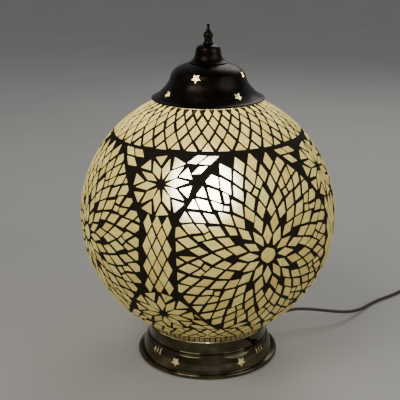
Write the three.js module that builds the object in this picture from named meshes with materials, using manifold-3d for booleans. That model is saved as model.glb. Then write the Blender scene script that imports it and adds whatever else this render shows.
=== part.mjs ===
// Mosaic glass table lamp: a blown glass globe clad with glass tiles, held by its
// neck in a pierced spun base, with a pierced cap and a turned finial on top.
// Units are millimetres, +Z is up, the table is z = 0 and the front faces -Y.
import * as THREE from 'three';
import { mergeVertices } from 'three/addons/utils/BufferGeometryUtils.js';
import Module from 'manifold-3d';

const wasm = await Module();
wasm.setup();

// ---------------------------------------------------------------- driving dimensions

const GAP = 0.3; // clearance between neighbouring pieces

// Globe: an ellipsoid slightly shorter than it is wide, with a neck at each end
const GLOBE_Z = 222.9;
const GLOBE_RADIUS = 190;
const GLOBE_HALF_HEIGHT = 187;
const TILE_LAYER = 2.6;
const GLASS_WALL = 2.4;
const NECK_THINNING = 0.2;
const LOW_NECK_RADIUS = 90.4;
const TOP_NECK_RADIUS = 73.4;
const LOW_NECK_Z = 51.6;
const TOP_NECK_Z = 397.5;
const GLASS_FOOT_Z = 34.2;
const GLASS_TOP_Z = 403.0;
const GLOBE_SEGMENTS = 32;
const GLOBE_STEPS = 9;
const CAP_SEGMENTS = 28;

// Base: rolled bead, conical pierced skirt and a flat top that carries the collar
const BEAD_RADIUS = 3.5;
const BEAD_RING = 104.5;
const SKIRT_FOOT = { r: 100.6, z: 6.2 };
const SKIRT_HEAD = { r: 92.4, z: 30.2 };
const SKIRT_TOP_Z = 31.8;
const SHEET = 1.2;
const TOP_HOLE_RADIUS = 75;
const BASE_SEGMENTS = 32;

// Collar that surrounds the lower neck of the globe
const COLLAR_RADIUS = 90.8;
const COLLAR_WALL = 1.5;
const COLLAR_FOOT_Z = 32.1;
const COLLAR_TOP_Z = 51.0;

// Piercings
const STAR_WAIST = 0.52; // inner radius of a star over its outer radius
const BASE_STAR_RADIUS = 8;
const BASE_STAR_Z = 17.5;
const BASE_STAR_AZIMUTHS = [-29, 31, 91, 151, 211, 271];
const SLOT_LENGTH = 9;
const SLOT_WIDTH = 2.2;
const SLOT_Z = 24;
const SLOT_STEP = 4;
const SLOT_GROUP_AZIMUTHS = [-51.5, 54.5, 128.5, 234.5];
const CAP_STAR_RADIUS = 7.4;
const UPPER_STARS = { z: 433.5, r: 53, tilt: 22, azimuths: [-19, 71, 161, 251] };
const LOWER_STARS = { z: 409, r: 66.8, tilt: 45, azimuths: [-58, 39, 126, 219] };

// Thumb screws that hold the neck
const THUMB_AZIMUTHS = [45, 225];
const THUMB_Z = 43.5;
const THUMB_TIP = 88.1;
const THUMB_SHANK_RADIUS = 2.2;

// Threaded tube, lampholder and bulb on the axis
const TUBE_RADIUS = 5;
const TUBE_BORE = 3.5;
const TUBE_FOOT_Z = 22;
const TUBE_TOP_Z = 160;
const BAR_Z = 28.2;
const BAR_THICKNESS = 2.1;
const BAR_WIDTH = 22;
const BOLT_X = 79.5;
const BOLT_HOLE_RADIUS = 2.3;
const NUT = { flat: 8.5, height: 3.8 };
const BULB_CENTRE_Z = 263;
const BULB_RADIUS = 30;

// Mains cord, its gland and what is on it
const CORD_RADIUS = 2.6;
const GLAND_AZIMUTH = 119.5;
const GLAND_Z = 14;
const COIL_CENTRE = { x: 398.3, y: 214.5 };
const COIL_TURN_RADIUS = 37.9;
const COIL_SECTION = { inner: 18.1, outer: 40.8, foot: 1.1, head: 12.0 };
const ON_TABLE_Z = 2.7;
const PLUG_MID_Z = 7.2;
const SWITCH_MID_Z = 7.6;
const SWITCH_Y = 116;
const SWITCH_LENGTH = 58;
const PLUG_Y = -16;
const TAIL_X = COIL_CENTRE.x + COIL_TURN_RADIUS;

// Centreline of the cord from the gland to the coil
const LEAD_ROUTE = [
  [108.9, 61.6, 23.3],
  [118.7, 67.2, 26.8],
  [131.2, 73.8, 28.9],
  [146, 80, 28.9],
  [162, 84.2, 27.3],
  [178, 86.8, 25.2],
  [194, 89.4, 22.4],
  [210, 94, 18.8],
  [226, 101.4, 14.6],
  [241, 112.2, 10.2],
  [255, 126.2, 6.4],
  [267.5, 141, 3.8],
  [279, 155.4, 2.8],
  [291, 168.4, ON_TABLE_Z],
  [304, 180.2, ON_TABLE_Z],
  [320, 192.6, ON_TABLE_Z],
  [337, 206.6, ON_TABLE_Z],
  [355.2, 224.4, ON_TABLE_Z],
];

// ---------------------------------------------------------------- materials

function finish(color, roughness, metalness) {
  return new THREE.MeshStandardMaterial({ color, roughness, metalness });
}

const darkMetal = () => finish(0x2b2521, 0.38, 0.9);
const polishedMetal = () => finish(0x5a4f42, 0.22, 1.0);
const plainSteel = () => finish(0x9a9a96, 0.4, 1.0);
const brassMetal = () => finish(0xb8934a, 0.3, 1.0);
const clearGlass = () => finish(0xe8ecd8, 0.08, 0.0);
const mosaicGlass = () => finish(0xe6dba4, 0.25, 0.0);
const darkPlastic = () => finish(0x3a3128, 0.45, 0.0);
const whitePlastic = () => finish(0xdedbd2, 0.5, 0.0);
const bulbGlass = () => finish(0xfff2cf, 0.3, 0.0);
const greenFelt = () => finish(0x2f3a2c, 0.95, 0.0);

// ---------------------------------------------------------------- geometry helpers

const radians = (degrees) => (degrees * Math.PI) / 180;

// Azimuth 0 is the front (-Y) and grows towards +X
function polar(radius, azimuth, z) {
  const angle = radians(azimuth);
  return new THREE.Vector3(radius * Math.sin(angle), -radius * Math.cos(angle), z);
}

// Solid of revolution about Z; the profile runs counter-clockwise in (r, z)
function turned(profile, segments) {
  const points = profile.map(([r, z]) => new THREE.Vector2(r, z));
  const geometry = new THREE.LatheGeometry(points, segments);
  geometry.rotateX(Math.PI / 2);
  return geometry;
}

// The same for a profile that closes on itself, such as a ring or a shell
function turnedRing(profile, segments) {
  return turned([...profile, profile[0]], segments);
}

function toManifold(geometry) {
  const bare = geometry.clone();
  bare.deleteAttribute('normal');
  bare.deleteAttribute('uv');
  const merged = mergeVertices(bare, 1e-4);
  const index = merged.index.array;
  const triangles = [];
  for (let i = 0; i < index.length; i += 3) {
    const [a, b, c] = [index[i], index[i + 1], index[i + 2]];
    if (a !== b && b !== c && c !== a) triangles.push(a, b, c);
  }
  const mesh = new wasm.Mesh({
    numProp: 3,
    vertProperties: new Float32Array(merged.attributes.position.array),
    triVerts: new Uint32Array(triangles),
  });
  return new wasm.Manifold(mesh);
}

function fromManifold(solid) {
  const mesh = solid.getMesh();
  const geometry = new THREE.BufferGeometry();
  geometry.setAttribute('position', new THREE.BufferAttribute(mesh.vertProperties, 3));
  geometry.setIndex(new THREE.BufferAttribute(mesh.triVerts, 1));
  return geometry;
}

function cut(geometry, tools) {
  let solid = toManifold(geometry);
  for (const tool of tools) solid = solid.subtract(toManifold(tool));
  return fromManifold(solid);
}

function polygonShape(radius, sides, turn = 0) {
  const points = [];
  for (let i = 0; i < sides; i += 1) {
    const angle = turn + (2 * Math.PI * i) / sides;
    points.push(new THREE.Vector2(radius * Math.cos(angle), radius * Math.sin(angle)));
  }
  return new THREE.Shape(points);
}

function prism(shape, depth) {
  return new THREE.ExtrudeGeometry(shape, { depth, bevelEnabled: false });
}

function rectangle(width, height, corner) {
  const [w, h] = [width / 2, height / 2];
  const shape = new THREE.Shape();
  shape.moveTo(-w + corner, -h);
  shape.lineTo(w - corner, -h);
  shape.absarc(w - corner, -h + corner, corner, -Math.PI / 2, 0, false);
  shape.absarc(w - corner, h - corner, corner, 0, Math.PI / 2, false);
  shape.absarc(-w + corner, h - corner, corner, Math.PI / 2, Math.PI, false);
  shape.absarc(-w + corner, -h + corner, corner, Math.PI, 1.5 * Math.PI, false);
  return shape;
}

function roundedPrism(width, height, depth, corner, curveSegments = 3) {
  const shape = rectangle(width, height, corner);
  return new THREE.ExtrudeGeometry(shape, { depth, bevelEnabled: false, curveSegments });
}

function starShape(radius) {
  const points = [];
  for (let i = 0; i < 10; i += 1) {
    const reach = i % 2 === 0 ? radius : radius * STAR_WAIST;
    const angle = -Math.PI / 2 + (i * Math.PI) / 5;
    points.push(new THREE.Vector2(reach * Math.cos(angle), reach * Math.sin(angle)));
  }
  return new THREE.Shape(points);
}

function slotShape(length, width) {
  const shape = new THREE.Shape();
  const half = (length - width) / 2;
  shape.absarc(0, half, width / 2, 0, Math.PI, false);
  shape.absarc(0, -half, width / 2, Math.PI, 2 * Math.PI, false);
  return shape;
}

// Turns a geometry drawn along +Z so that it points outwards at an azimuth, tilted up,
// with its own +Y running up the wall, and moves its origin onto the wall
function pointOutwards(geometry, radius, azimuth, z, tilt = 0) {
  geometry.rotateX(Math.PI / 2 - radians(tilt));
  geometry.rotateZ(radians(azimuth));
  const place = polar(radius, azimuth, z);
  return geometry.translate(place.x, place.y, place.z);
}

function punch(shape, radius, azimuth, z, tilt) {
  const tool = new THREE.ExtrudeGeometry(shape, { depth: 12, bevelEnabled: false, curveSegments: 2 });
  tool.translate(0, 0, -6);
  return pointOutwards(tool, radius, azimuth, z, tilt);
}

function rod(radius, length, sides) {
  return prism(polygonShape(radius, sides, Math.PI / sides), length);
}

function tubeAlong(points, radius, sides, steps) {
  const curve = new THREE.CatmullRomCurve3(points.map(([x, y, z]) => new THREE.Vector3(x, y, z)));
  return new THREE.ExtrudeGeometry(polygonShape(radius, sides, Math.PI / sides), {
    steps,
    extrudePath: curve,
    bevelEnabled: false,
  });
}

function hexNut(flatRadius, bore, thickness) {
  const shape = polygonShape(flatRadius, 6);
  shape.holes.push(new THREE.Path(polygonShape(bore, 12).getPoints().reverse()));
  return prism(shape, thickness);
}

const group = new THREE.Group();

function add(name, geometry, material, z = 0) {
  const mesh = new THREE.Mesh(geometry, material);
  mesh.name = name;
  mesh.position.z = z;
  group.add(mesh);
  return mesh;
}

// ---------------------------------------------------------------- base

function skirtRadius(z) {
  const share = (z - SKIRT_FOOT.z) / (SKIRT_HEAD.z - SKIRT_FOOT.z);
  return SKIRT_FOOT.r + share * (SKIRT_HEAD.r - SKIRT_FOOT.r);
}

const skirtTilt = THREE.MathUtils.radToDeg(
  Math.atan2(SKIRT_FOOT.r - SKIRT_HEAD.r, SKIRT_HEAD.z - SKIRT_FOOT.z),
);

function baseSkirt() {
  const profile = [];
  for (let i = 0; i <= 4; i += 1) {
    const angle = radians(-90 + i * 52);
    profile.push([BEAD_RING + BEAD_RADIUS * Math.cos(angle), BEAD_RADIUS + BEAD_RADIUS * Math.sin(angle)]);
  }
  profile.push(
    [SKIRT_FOOT.r, SKIRT_FOOT.z],
    [SKIRT_HEAD.r, SKIRT_HEAD.z],
    [SKIRT_HEAD.r - 0.8, SKIRT_TOP_Z - 0.3],
    [SKIRT_HEAD.r - 2, SKIRT_TOP_Z],
    [TOP_HOLE_RADIUS, SKIRT_TOP_Z],
    [TOP_HOLE_RADIUS, SKIRT_TOP_Z - SHEET],
    [SKIRT_HEAD.r - 2.2, SKIRT_TOP_Z - SHEET],
    [SKIRT_FOOT.r - SHEET, SKIRT_FOOT.z],
    [BEAD_RING - BEAD_RADIUS - 1, 4.6],
    [BEAD_RING - BEAD_RADIUS, 1.8],
  );
  const tools = BASE_STAR_AZIMUTHS.map((azimuth) =>
    punch(starShape(BASE_STAR_RADIUS), skirtRadius(BASE_STAR_Z), azimuth, BASE_STAR_Z, skirtTilt),
  );
  for (const middle of SLOT_GROUP_AZIMUTHS) {
    for (const step of [-1, 0, 1]) {
      const azimuth = middle + step * SLOT_STEP;
      const slot = slotShape(SLOT_LENGTH, SLOT_WIDTH);
      tools.push(punch(slot, skirtRadius(SLOT_Z), azimuth, SLOT_Z, skirtTilt));
    }
  }
  tools.push(punch(polygonShape(5.4, 12), skirtRadius(GLAND_Z), GLAND_AZIMUTH, GLAND_Z, skirtTilt));
  for (const x of [-BOLT_X, BOLT_X]) {
    tools.push(rod(BOLT_HOLE_RADIUS, 10, 10).translate(x, 0, SKIRT_TOP_Z - 5));
  }
  return cut(turnedRing(profile, BASE_SEGMENTS), tools);
}

function fitterCollar() {
  const inside = COLLAR_RADIUS - COLLAR_WALL;
  const profile = [
    [COLLAR_RADIUS, COLLAR_FOOT_Z],
    [COLLAR_RADIUS, COLLAR_TOP_Z - 0.8],
    [COLLAR_RADIUS - 0.4, COLLAR_TOP_Z],
    [inside, COLLAR_TOP_Z],
    [inside, COLLAR_FOOT_Z + SHEET],
    [TOP_HOLE_RADIUS, COLLAR_FOOT_Z + SHEET],
    [TOP_HOLE_RADIUS, COLLAR_FOOT_Z],
  ];
  const tools = THUMB_AZIMUTHS.map((azimuth) =>
    punch(polygonShape(THUMB_SHANK_RADIUS + 0.4, 12), COLLAR_RADIUS, azimuth, THUMB_Z, 0),
  );
  for (const x of [-BOLT_X, BOLT_X]) {
    tools.push(rod(BOLT_HOLE_RADIUS, 10, 10).translate(x, 0, COLLAR_FOOT_Z - 5));
  }
  return cut(turnedRing(profile, BASE_SEGMENTS), tools);
}

function thumbScrew() {
  const profile = [
    [0, 0],
    [THUMB_SHANK_RADIUS - 0.6, 0],
    [THUMB_SHANK_RADIUS, 0.8],
    [THUMB_SHANK_RADIUS, 6.5],
    [3.2, 6.9],
    [3.2, 8.2],
    [5.2, 9.0],
    [5.2, 14.8],
    [4.2, 15.8],
    [0, 15.8],
  ];
  return turned(profile, 12);
}

add('base_skirt', baseSkirt(), polishedMetal());
add('fitter_collar', fitterCollar(), polishedMetal());

THUMB_AZIMUTHS.forEach((azimuth, i) => {
  const screw = pointOutwards(thumbScrew(), THUMB_TIP, azimuth, THUMB_Z);
  add(`thumb_screw_${i + 1}`, screw, darkMetal());
});

const bottomPlate = turned([[0, 2.4], [99.6, 2.4], [99.6, 3.6], [0, 3.6]], BASE_SEGMENTS);
add('bottom_plate', bottomPlate, plainSteel());

const feltDisc = turned([[0, 0], [99.8, 0], [99.8, 2.1], [0, 2.1]], BASE_SEGMENTS);
add('felt_disc', feltDisc, greenFelt());

// ---------------------------------------------------------------- stem and lampholder

function crossBar() {
  const length = 2 * (BOLT_X + 6);
  const shape = rectangle(length, BAR_WIDTH, 4);
  shape.holes.push(new THREE.Path(polygonShape(TUBE_RADIUS + GAP, 16).getPoints().reverse()));
  for (const x of [-BOLT_X, BOLT_X]) {
    const hole = polygonShape(BOLT_HOLE_RADIUS, 10, Math.PI / 10).getPoints().reverse();
    shape.holes.push(new THREE.Path(hole.map((p) => new THREE.Vector2(p.x + x, p.y))));
  }
  return new THREE.ExtrudeGeometry(shape, { depth: BAR_THICKNESS, bevelEnabled: false, curveSegments: 3 });
}

function barBolt() {
  const head = COLLAR_FOOT_Z + SHEET + GAP;
  const foot = BAR_Z - 4.4;
  return turned([[0, foot], [1.9, foot], [1.9, head], [3.2, head], [2.8, head + 1.9], [0, head + 2.2]], 12);
}

add('cross_bar', crossBar(), plainSteel(), BAR_Z);
[-BOLT_X, BOLT_X].forEach((x, i) => {
  const bolt = add(`bar_bolt_${i + 1}`, barBolt(), plainSteel());
  bolt.position.x = x;
  const nut = add(`bar_nut_${i + 1}`, hexNut(4, 2.2, 2.8), plainSteel(), BAR_Z - 3.1);
  nut.position.x = x;
});

const stem = turnedRing(
  [
    [TUBE_RADIUS, TUBE_FOOT_Z],
    [TUBE_RADIUS, TUBE_TOP_Z],
    [TUBE_BORE, TUBE_TOP_Z],
    [TUBE_BORE, TUBE_FOOT_Z],
  ],
  20,
);
add('threaded_tube', stem, plainSteel());
add('tube_nut_lower', hexNut(NUT.flat, TUBE_RADIUS + GAP, NUT.height), plainSteel(),
  BAR_Z - GAP - NUT.height);
add('tube_nut_upper', hexNut(NUT.flat, TUBE_RADIUS + GAP, NUT.height), plainSteel(),
  BAR_Z + BAR_THICKNESS + GAP);

function holderBase() {
  return turnedRing(
    [
      [TUBE_RADIUS + GAP, 150],
      [9.5, 150],
      [9.5, 158],
      [17, 162],
      [21.4, 171],
      [21.4, 178],
      [19.6, 178],
      [19.6, 172],
      [16, 164.6],
      [TUBE_RADIUS + GAP, 162],
    ],
    20,
  );
}

const holderSleeve = turnedRing([[19.6, 178.3], [21.8, 178.3], [21.8, 212], [21, 214], [19.6, 214]], 20);
const holderInsulator = turned([[0, 170.5], [17.2, 170.5], [18.7, 174.5], [18.7, 184], [0, 184]], 16);
const screwShell = turned(
  [[0, 184.3], [14.6, 184.3], [14.6, 209.5], [13.6, 209.5], [13.6, 185.3], [0, 185.3]],
  24,
);
add('holder_base', holderBase(), darkPlastic());
add('holder_sleeve', holderSleeve, darkPlastic());
add('holder_insulator', holderInsulator, whitePlastic());
add('holder_screw_shell', screwShell, brassMetal());

// ---------------------------------------------------------------- bulb

const bulbTip = turned([[0, 185.7], [4, 185.9], [5, 187.4], [5, 188.2], [0, 188.2]], 16);
const bulbCap = turned([[0, 188.5], [9, 188.5], [13, 191.5], [13, 212], [0, 212]], 24);

function bulbEnvelope() {
  const profile = [[0, 212.3], [13.6, 212.3], [15.5, 220]];
  for (let i = 0; i <= 8; i += 1) {
    const angle = radians(-42 + i * 16.5);
    profile.push([BULB_RADIUS * Math.cos(angle), BULB_CENTRE_Z + BULB_RADIUS * Math.sin(angle)]);
  }
  profile[profile.length - 1][0] = 0;
  profile[profile.length - 1][1] = BULB_CENTRE_Z + BULB_RADIUS;
  return turned(profile, 20);
}

add('bulb_contact', bulbTip, brassMetal());
add('bulb_screw_cap', bulbCap, plainSteel());
add('bulb_envelope', bulbEnvelope(), bulbGlass());

// ---------------------------------------------------------------- globe

// Latitude at which an ellipsoid has the given radius
const latitudeAt = (radius, equator) => Math.acos(radius / equator);

// One side of a globe layer, from the lower neck to the upper neck, as (r, z) points
function globeSide(inset, lowNeck, topNeck, steps) {
  const equator = GLOBE_RADIUS - inset;
  const halfHeight = GLOBE_HALF_HEIGHT - inset;
  const from = -latitudeAt(lowNeck, equator);
  const to = latitudeAt(topNeck, equator);
  const side = [];
  for (let i = 0; i <= steps; i += 1) {
    const latitude = from + ((to - from) * i) / steps;
    side.push([equator * Math.cos(latitude), GLOBE_Z + halfHeight * Math.sin(latitude)]);
  }
  return side;
}

// A layer of the globe with a cylindrical neck at its foot and its head
function globeLayer(inset, wall, lowRadius, topRadius, footZ, topZ) {
  const lowBore = lowRadius - wall + NECK_THINNING;
  const topBore = topRadius - wall + NECK_THINNING;
  const outer = globeSide(inset, lowRadius, topRadius, GLOBE_STEPS);
  const inner = globeSide(inset + wall, lowBore, topBore, GLOBE_STEPS).reverse();
  const profile = [
    [lowRadius, footZ],
    ...outer,
    [topRadius, topZ],
    [topBore, topZ],
    ...inner,
    [lowBore, footZ],
  ];
  return turnedRing(profile, GLOBE_SEGMENTS);
}

const glassInset = TILE_LAYER + GAP;
add(
  'glass_globe',
  globeLayer(glassInset, GLASS_WALL, LOW_NECK_RADIUS - glassInset + 0.1, TOP_NECK_RADIUS - glassInset + 0.3,
    GLASS_FOOT_Z, GLASS_TOP_Z),
  clearGlass(),
);
add(
  'mosaic_shell',
  globeLayer(0, TILE_LAYER, LOW_NECK_RADIUS, TOP_NECK_RADIUS, LOW_NECK_Z, TOP_NECK_Z),
  mosaicGlass(),
);

// ---------------------------------------------------------------- cap and finial

const ROD_HOLE_RADIUS = 3.2;
const CAP_OUTLINE = [
  [81.8, 397.4],
  [81.0, 399.0],
  [77.3, 400.4],
  [71.8, 404.3],
  [66.9, 408.7],
  [62.0, 414.0],
  [58.7, 418.3],
  [56.3, 422.6],
  [54.6, 427.5],
  [52.9, 432.6],
  [50.0, 437.0],
  [44.8, 441.2],
  [38.3, 444.4],
  [30.0, 447.2],
  [20.0, 449.0],
  [ROD_HOLE_RADIUS, 450.0],
];

// Inner side of a sheet with the given outer side, one sheet thickness in from it
function insideOf(outline, thickness) {
  return outline.map(([r, z], i) => {
    const [r0, z0] = outline[Math.max(i - 1, 0)];
    const [r1, z1] = outline[Math.min(i + 1, outline.length - 1)];
    const length = Math.hypot(r1 - r0, z1 - z0);
    return [r - (thickness * (z1 - z0)) / length, z - (thickness * (r0 - r1)) / length];
  });
}

function capShell() {
  const inner = insideOf(CAP_OUTLINE, SHEET).reverse();
  inner[0] = [ROD_HOLE_RADIUS, CAP_OUTLINE[CAP_OUTLINE.length - 1][1] - SHEET];
  inner[inner.length - 1] = [79.6, 397.2];
  const profile = [[80.6, 396.4], ...CAP_OUTLINE, ...inner];
  const tools = [];
  for (const row of [UPPER_STARS, LOWER_STARS]) {
    for (const azimuth of row.azimuths) {
      tools.push(punch(starShape(CAP_STAR_RADIUS), row.r, azimuth, row.z, row.tilt));
    }
  }
  return cut(turnedRing(profile, CAP_SEGMENTS), tools);
}

function finialCup() {
  const outline = [
    [27.4, 448.8],
    [23.4, 451.6],
    [20.6, 455.0],
    [18.8, 459.8],
    [18.0, 465.4],
    [16.8, 469.0],
    [14.4, 471.8],
    [8.6, 473.8],
    [ROD_HOLE_RADIUS, 474.2],
  ];
  const inner = insideOf(outline, SHEET).reverse();
  inner[0] = [ROD_HOLE_RADIUS, 474.2 - SHEET];
  inner[inner.length - 1] = [25.6, 448.7];
  return turnedRing([...outline, ...inner], 20);
}

function finial() {
  return turned(
    [
      [0, 484],
      [2.8, 484],
      [2.8, 474.5],
      [7.8, 474.5],
      [7.8, 475.8],
      [6.0, 477.4],
      [5.5, 480.4],
      [6.2, 483.4],
      [7.1, 486.4],
      [6.2, 489.4],
      [3.7, 492.4],
      [2.5, 495.2],
      [1.5, 497.2],
      [2.1, 499.2],
      [2.0, 501.4],
      [0, 503],
    ],
    14,
  );
}

const BRIDGE_Z = 383.2;
const BRIDGE_THICKNESS = 2;

function capBridge() {
  const shape = rectangle(152, 16, 3);
  shape.holes.push(new THREE.Path(polygonShape(2.8, 12).getPoints().reverse()));
  return new THREE.ExtrudeGeometry(shape, {
    depth: BRIDGE_THICKNESS,
    bevelEnabled: false,
    curveSegments: 2,
  });
}

add('cap_shell', capShell(), darkMetal());
add('finial_cup', finialCup(), darkMetal());
add('finial', finial(), darkMetal());
add('cap_bridge', capBridge(), plainSteel(), BRIDGE_Z);
add('cap_rod', rod(2.4, 105, 12), plainSteel(), 378.5);
add('bridge_nut', hexNut(5, 2.7, 3.4), plainSteel(), BRIDGE_Z - GAP - 3.4);

// ---------------------------------------------------------------- gland and cord

function cordGland() {
  const bore = CORD_RADIUS + 0.4;
  return turnedRing(
    [
      [bore, -7],
      [7.4, -7],
      [7.4, -2.2],
      [5.0, -2.2],
      [5.0, 0.8],
      [7.6, 0.8],
      [7.6, 3.4],
      [5.4, 4.2],
      [4.6, 14],
      [3.6, 28],
      [bore, 28],
    ],
    12,
  );
}

function innerLeadRoute() {
  const start = polar(skirtRadius(GLAND_Z) - 8.2, GLAND_AZIMUTH, GLAND_Z - 2.9);
  const outward = polar(1, GLAND_AZIMUTH, 0);
  const along = (distance, z) => [outward.x * distance, outward.y * distance, z];
  return [
    [start.x, start.y, start.z],
    along(76, 8.4),
    along(56, 7.0),
    along(34, 7.0),
    along(20, 7.4),
    along(10, 9.6),
    along(3.6, 13.4),
    along(0.6, 18.6),
    [0, 0, 26],
    [0, 0, 48],
  ];
}

function coilRing() {
  const { inner, outer, foot, head } = COIL_SECTION;
  const corner = 2.4; // of the wound bundle's section
  const ring = turnedRing(
    [
      [inner + corner, foot],
      [outer - corner, foot],
      [outer, foot + corner],
      [outer, head - corner],
      [outer - corner, head],
      [inner + corner, head],
      [inner, head - corner],
      [inner, foot + corner],
    ],
    22,
  );
  return ring.translate(COIL_CENTRE.x, COIL_CENTRE.y, 0);
}

const TIE = { width: 8, strap: 0.75, bearing: -20 };

function coilTie() {
  const inner = COIL_SECTION.inner - 1.65;
  const outer = COIL_SECTION.outer + 1.1;
  const height = COIL_SECTION.head + 1.1;
  const band = rectangle(outer - inner, height, 2.2);
  const hole = rectangle(outer - inner - 2 * TIE.strap, height - 2 * TIE.strap, 1.6);
  band.holes.push(new THREE.Path(hole.getPoints(3).reverse()));
  const strap = new THREE.ExtrudeGeometry(band, {
    depth: TIE.width,
    bevelEnabled: false,
    curveSegments: 3,
  });
  strap.rotateX(Math.PI / 2);
  strap.translate((inner + outer) / 2, TIE.width / 2, height / 2);
  strap.rotateZ(radians(TIE.bearing));
  return strap.translate(COIL_CENTRE.x, COIL_CENTRE.y, 0);
}

const gland = pointOutwards(cordGland(), skirtRadius(GLAND_Z), GLAND_AZIMUTH, GLAND_Z, skirtTilt);
add('cord_gland', gland, darkPlastic());
add('inner_lead', tubeAlong(innerLeadRoute(), CORD_RADIUS, 8, 14), darkPlastic());
add('cord_lead', tubeAlong(LEAD_ROUTE, CORD_RADIUS, 8, 30), darkPlastic());
add('cord_coil', coilRing(), darkPlastic());
add('coil_tie', coilTie(), darkPlastic());

const switchEnds = { near: SWITCH_Y + SWITCH_LENGTH / 2, far: SWITCH_Y - SWITCH_LENGTH / 2 };
const COIL_EXIT_ROUTE = [
  [TAIL_X, COIL_CENTRE.y - 25.5, 7.2],
  [TAIL_X, COIL_CENTRE.y - 36, 5.4],
  [TAIL_X, COIL_CENTRE.y - 48, 5.2],
  [TAIL_X, switchEnds.near + 9, SWITCH_MID_Z - 0.6],
  [TAIL_X, switchEnds.near + GAP, SWITCH_MID_Z],
];
const PLUG_ROUTE = [
  [TAIL_X, switchEnds.far - GAP, SWITCH_MID_Z],
  [TAIL_X, switchEnds.far - 12, 6.6],
  [TAIL_X - 0.8, switchEnds.far - 28, 3.4],
  [TAIL_X - 2.4, switchEnds.far - 46, ON_TABLE_Z],
  [TAIL_X - 2.8, switchEnds.far - 64, ON_TABLE_Z],
  [TAIL_X - 1.4, switchEnds.far - 82, 4.0],
  [TAIL_X, PLUG_Y + 4, PLUG_MID_Z - 0.4],
  [TAIL_X, PLUG_Y + GAP, PLUG_MID_Z],
];
add('cord_to_switch', tubeAlong(COIL_EXIT_ROUTE, CORD_RADIUS, 8, 5), darkPlastic());
add('cord_to_plug', tubeAlong(PLUG_ROUTE, CORD_RADIUS, 8, 10), darkPlastic());

// ---------------------------------------------------------------- in-line switch

const SWITCH_WIDTH = 25;
const SWITCH_WALL = 1.8;
const SWITCH_CORNER = 8;

function switchShell(height, window) {
  const outer = roundedPrism(SWITCH_WIDTH, SWITCH_LENGTH, height, SWITCH_CORNER, 4);
  const innerWidth = SWITCH_WIDTH - 2 * SWITCH_WALL;
  const innerLength = SWITCH_LENGTH - 2 * SWITCH_WALL;
  const inner = roundedPrism(innerWidth, innerLength, height, SWITCH_CORNER - SWITCH_WALL, 4);
  const tools = [inner.translate(0, 0, SWITCH_WALL)];
  if (window) tools.push(roundedPrism(window.width, window.length, 20, 1, 1).translate(0, 0, -5));
  return cut(outer, tools);
}

const ROCKER = { width: 10, length: 22, halfTurn: 9 };

function rockerBody() {
  const half = ROCKER.length / 2;
  const side = new THREE.Shape();
  side.moveTo(-half, 1.2);
  side.lineTo(-half * 0.5, -2.6);
  side.lineTo(half * 0.5, -2.6);
  side.lineTo(half, 1.2);
  side.lineTo(half, 2.8);
  side.quadraticCurveTo(0, 1.2, -half, 2.8);
  const body = new THREE.ExtrudeGeometry(side, {
    depth: ROCKER.width,
    bevelEnabled: false,
    curveSegments: 6,
  });
  body.rotateX(Math.PI / 2);
  body.rotateZ(Math.PI / 2);
  body.translate(-ROCKER.width / 2, 0, 0);
  return body.rotateX(radians(-ROCKER.halfTurn));
}

const lowerShell = add('switch_lower_shell', switchShell(SWITCH_MID_Z - 0.15, null), darkPlastic(), 0);
lowerShell.position.set(TAIL_X, SWITCH_Y, 0);

const windowSize = { width: ROCKER.width + 0.8, length: ROCKER.length + 2.4 };
const upperGeometry = switchShell(SWITCH_MID_Z - 0.15, windowSize).rotateY(Math.PI);
const upperShell = add('switch_upper_shell', upperGeometry, darkPlastic());
upperShell.position.set(TAIL_X, SWITCH_Y, 2 * SWITCH_MID_Z);

const ROCKER_Z = 2 * SWITCH_MID_Z - 0.6;
const rocker = add('switch_rocker', rockerBody(), whitePlastic());
rocker.position.set(TAIL_X, SWITCH_Y, ROCKER_Z);

// ---------------------------------------------------------------- plug

function plugBody() {
  const outline = new THREE.Shape();
  outline.moveTo(-5, 0);
  outline.lineTo(5, 0);
  outline.lineTo(6.2, -10);
  outline.lineTo(17, -17);
  outline.lineTo(17.6, -37);
  outline.lineTo(-17.6, -37);
  outline.lineTo(-17, -17);
  outline.lineTo(-6.2, -10);
  return prism(outline, 13.8).translate(TAIL_X, PLUG_Y, PLUG_MID_Z - 6.9);
}

add('plug_body', plugBody(), darkPlastic());
[-9.4, 9.4].forEach((offset, i) => {
  const pin = turned([[0, 0], [2, 0], [2, 17.5], [1.2, 19], [0, 19]], 12);
  pin.rotateX(Math.PI / 2);
  pin.translate(TAIL_X + offset, PLUG_Y - 37 - GAP, PLUG_MID_Z);
  add(`plug_pin_${i + 1}`, pin, brassMetal());
});

export default group;
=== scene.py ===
import random
from math import acos, asin, atan, atan2, ceil, copysign, cos, degrees, exp, hypot, pi, radians, sin, tan

import bmesh
import bpy
import numpy as np
from mathutils import Matrix, Vector
from mathutils.geometry import delaunay_2d_cdt


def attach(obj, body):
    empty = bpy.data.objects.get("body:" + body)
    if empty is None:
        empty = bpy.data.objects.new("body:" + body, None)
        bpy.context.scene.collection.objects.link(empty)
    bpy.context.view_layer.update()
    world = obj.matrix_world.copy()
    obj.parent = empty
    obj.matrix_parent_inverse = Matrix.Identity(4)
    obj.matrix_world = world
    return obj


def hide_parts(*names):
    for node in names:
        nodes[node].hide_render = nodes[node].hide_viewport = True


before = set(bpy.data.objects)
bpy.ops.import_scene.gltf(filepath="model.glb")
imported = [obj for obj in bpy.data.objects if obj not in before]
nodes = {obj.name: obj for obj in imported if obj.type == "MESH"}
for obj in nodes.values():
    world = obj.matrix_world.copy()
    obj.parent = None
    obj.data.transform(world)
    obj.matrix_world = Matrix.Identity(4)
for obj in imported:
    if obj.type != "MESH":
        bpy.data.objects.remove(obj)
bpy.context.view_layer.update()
rng = random.Random(7)
MM = 0.001
DEGREES = 57.3  # in one radian


# ---- dimensions, in millimetres

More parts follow.
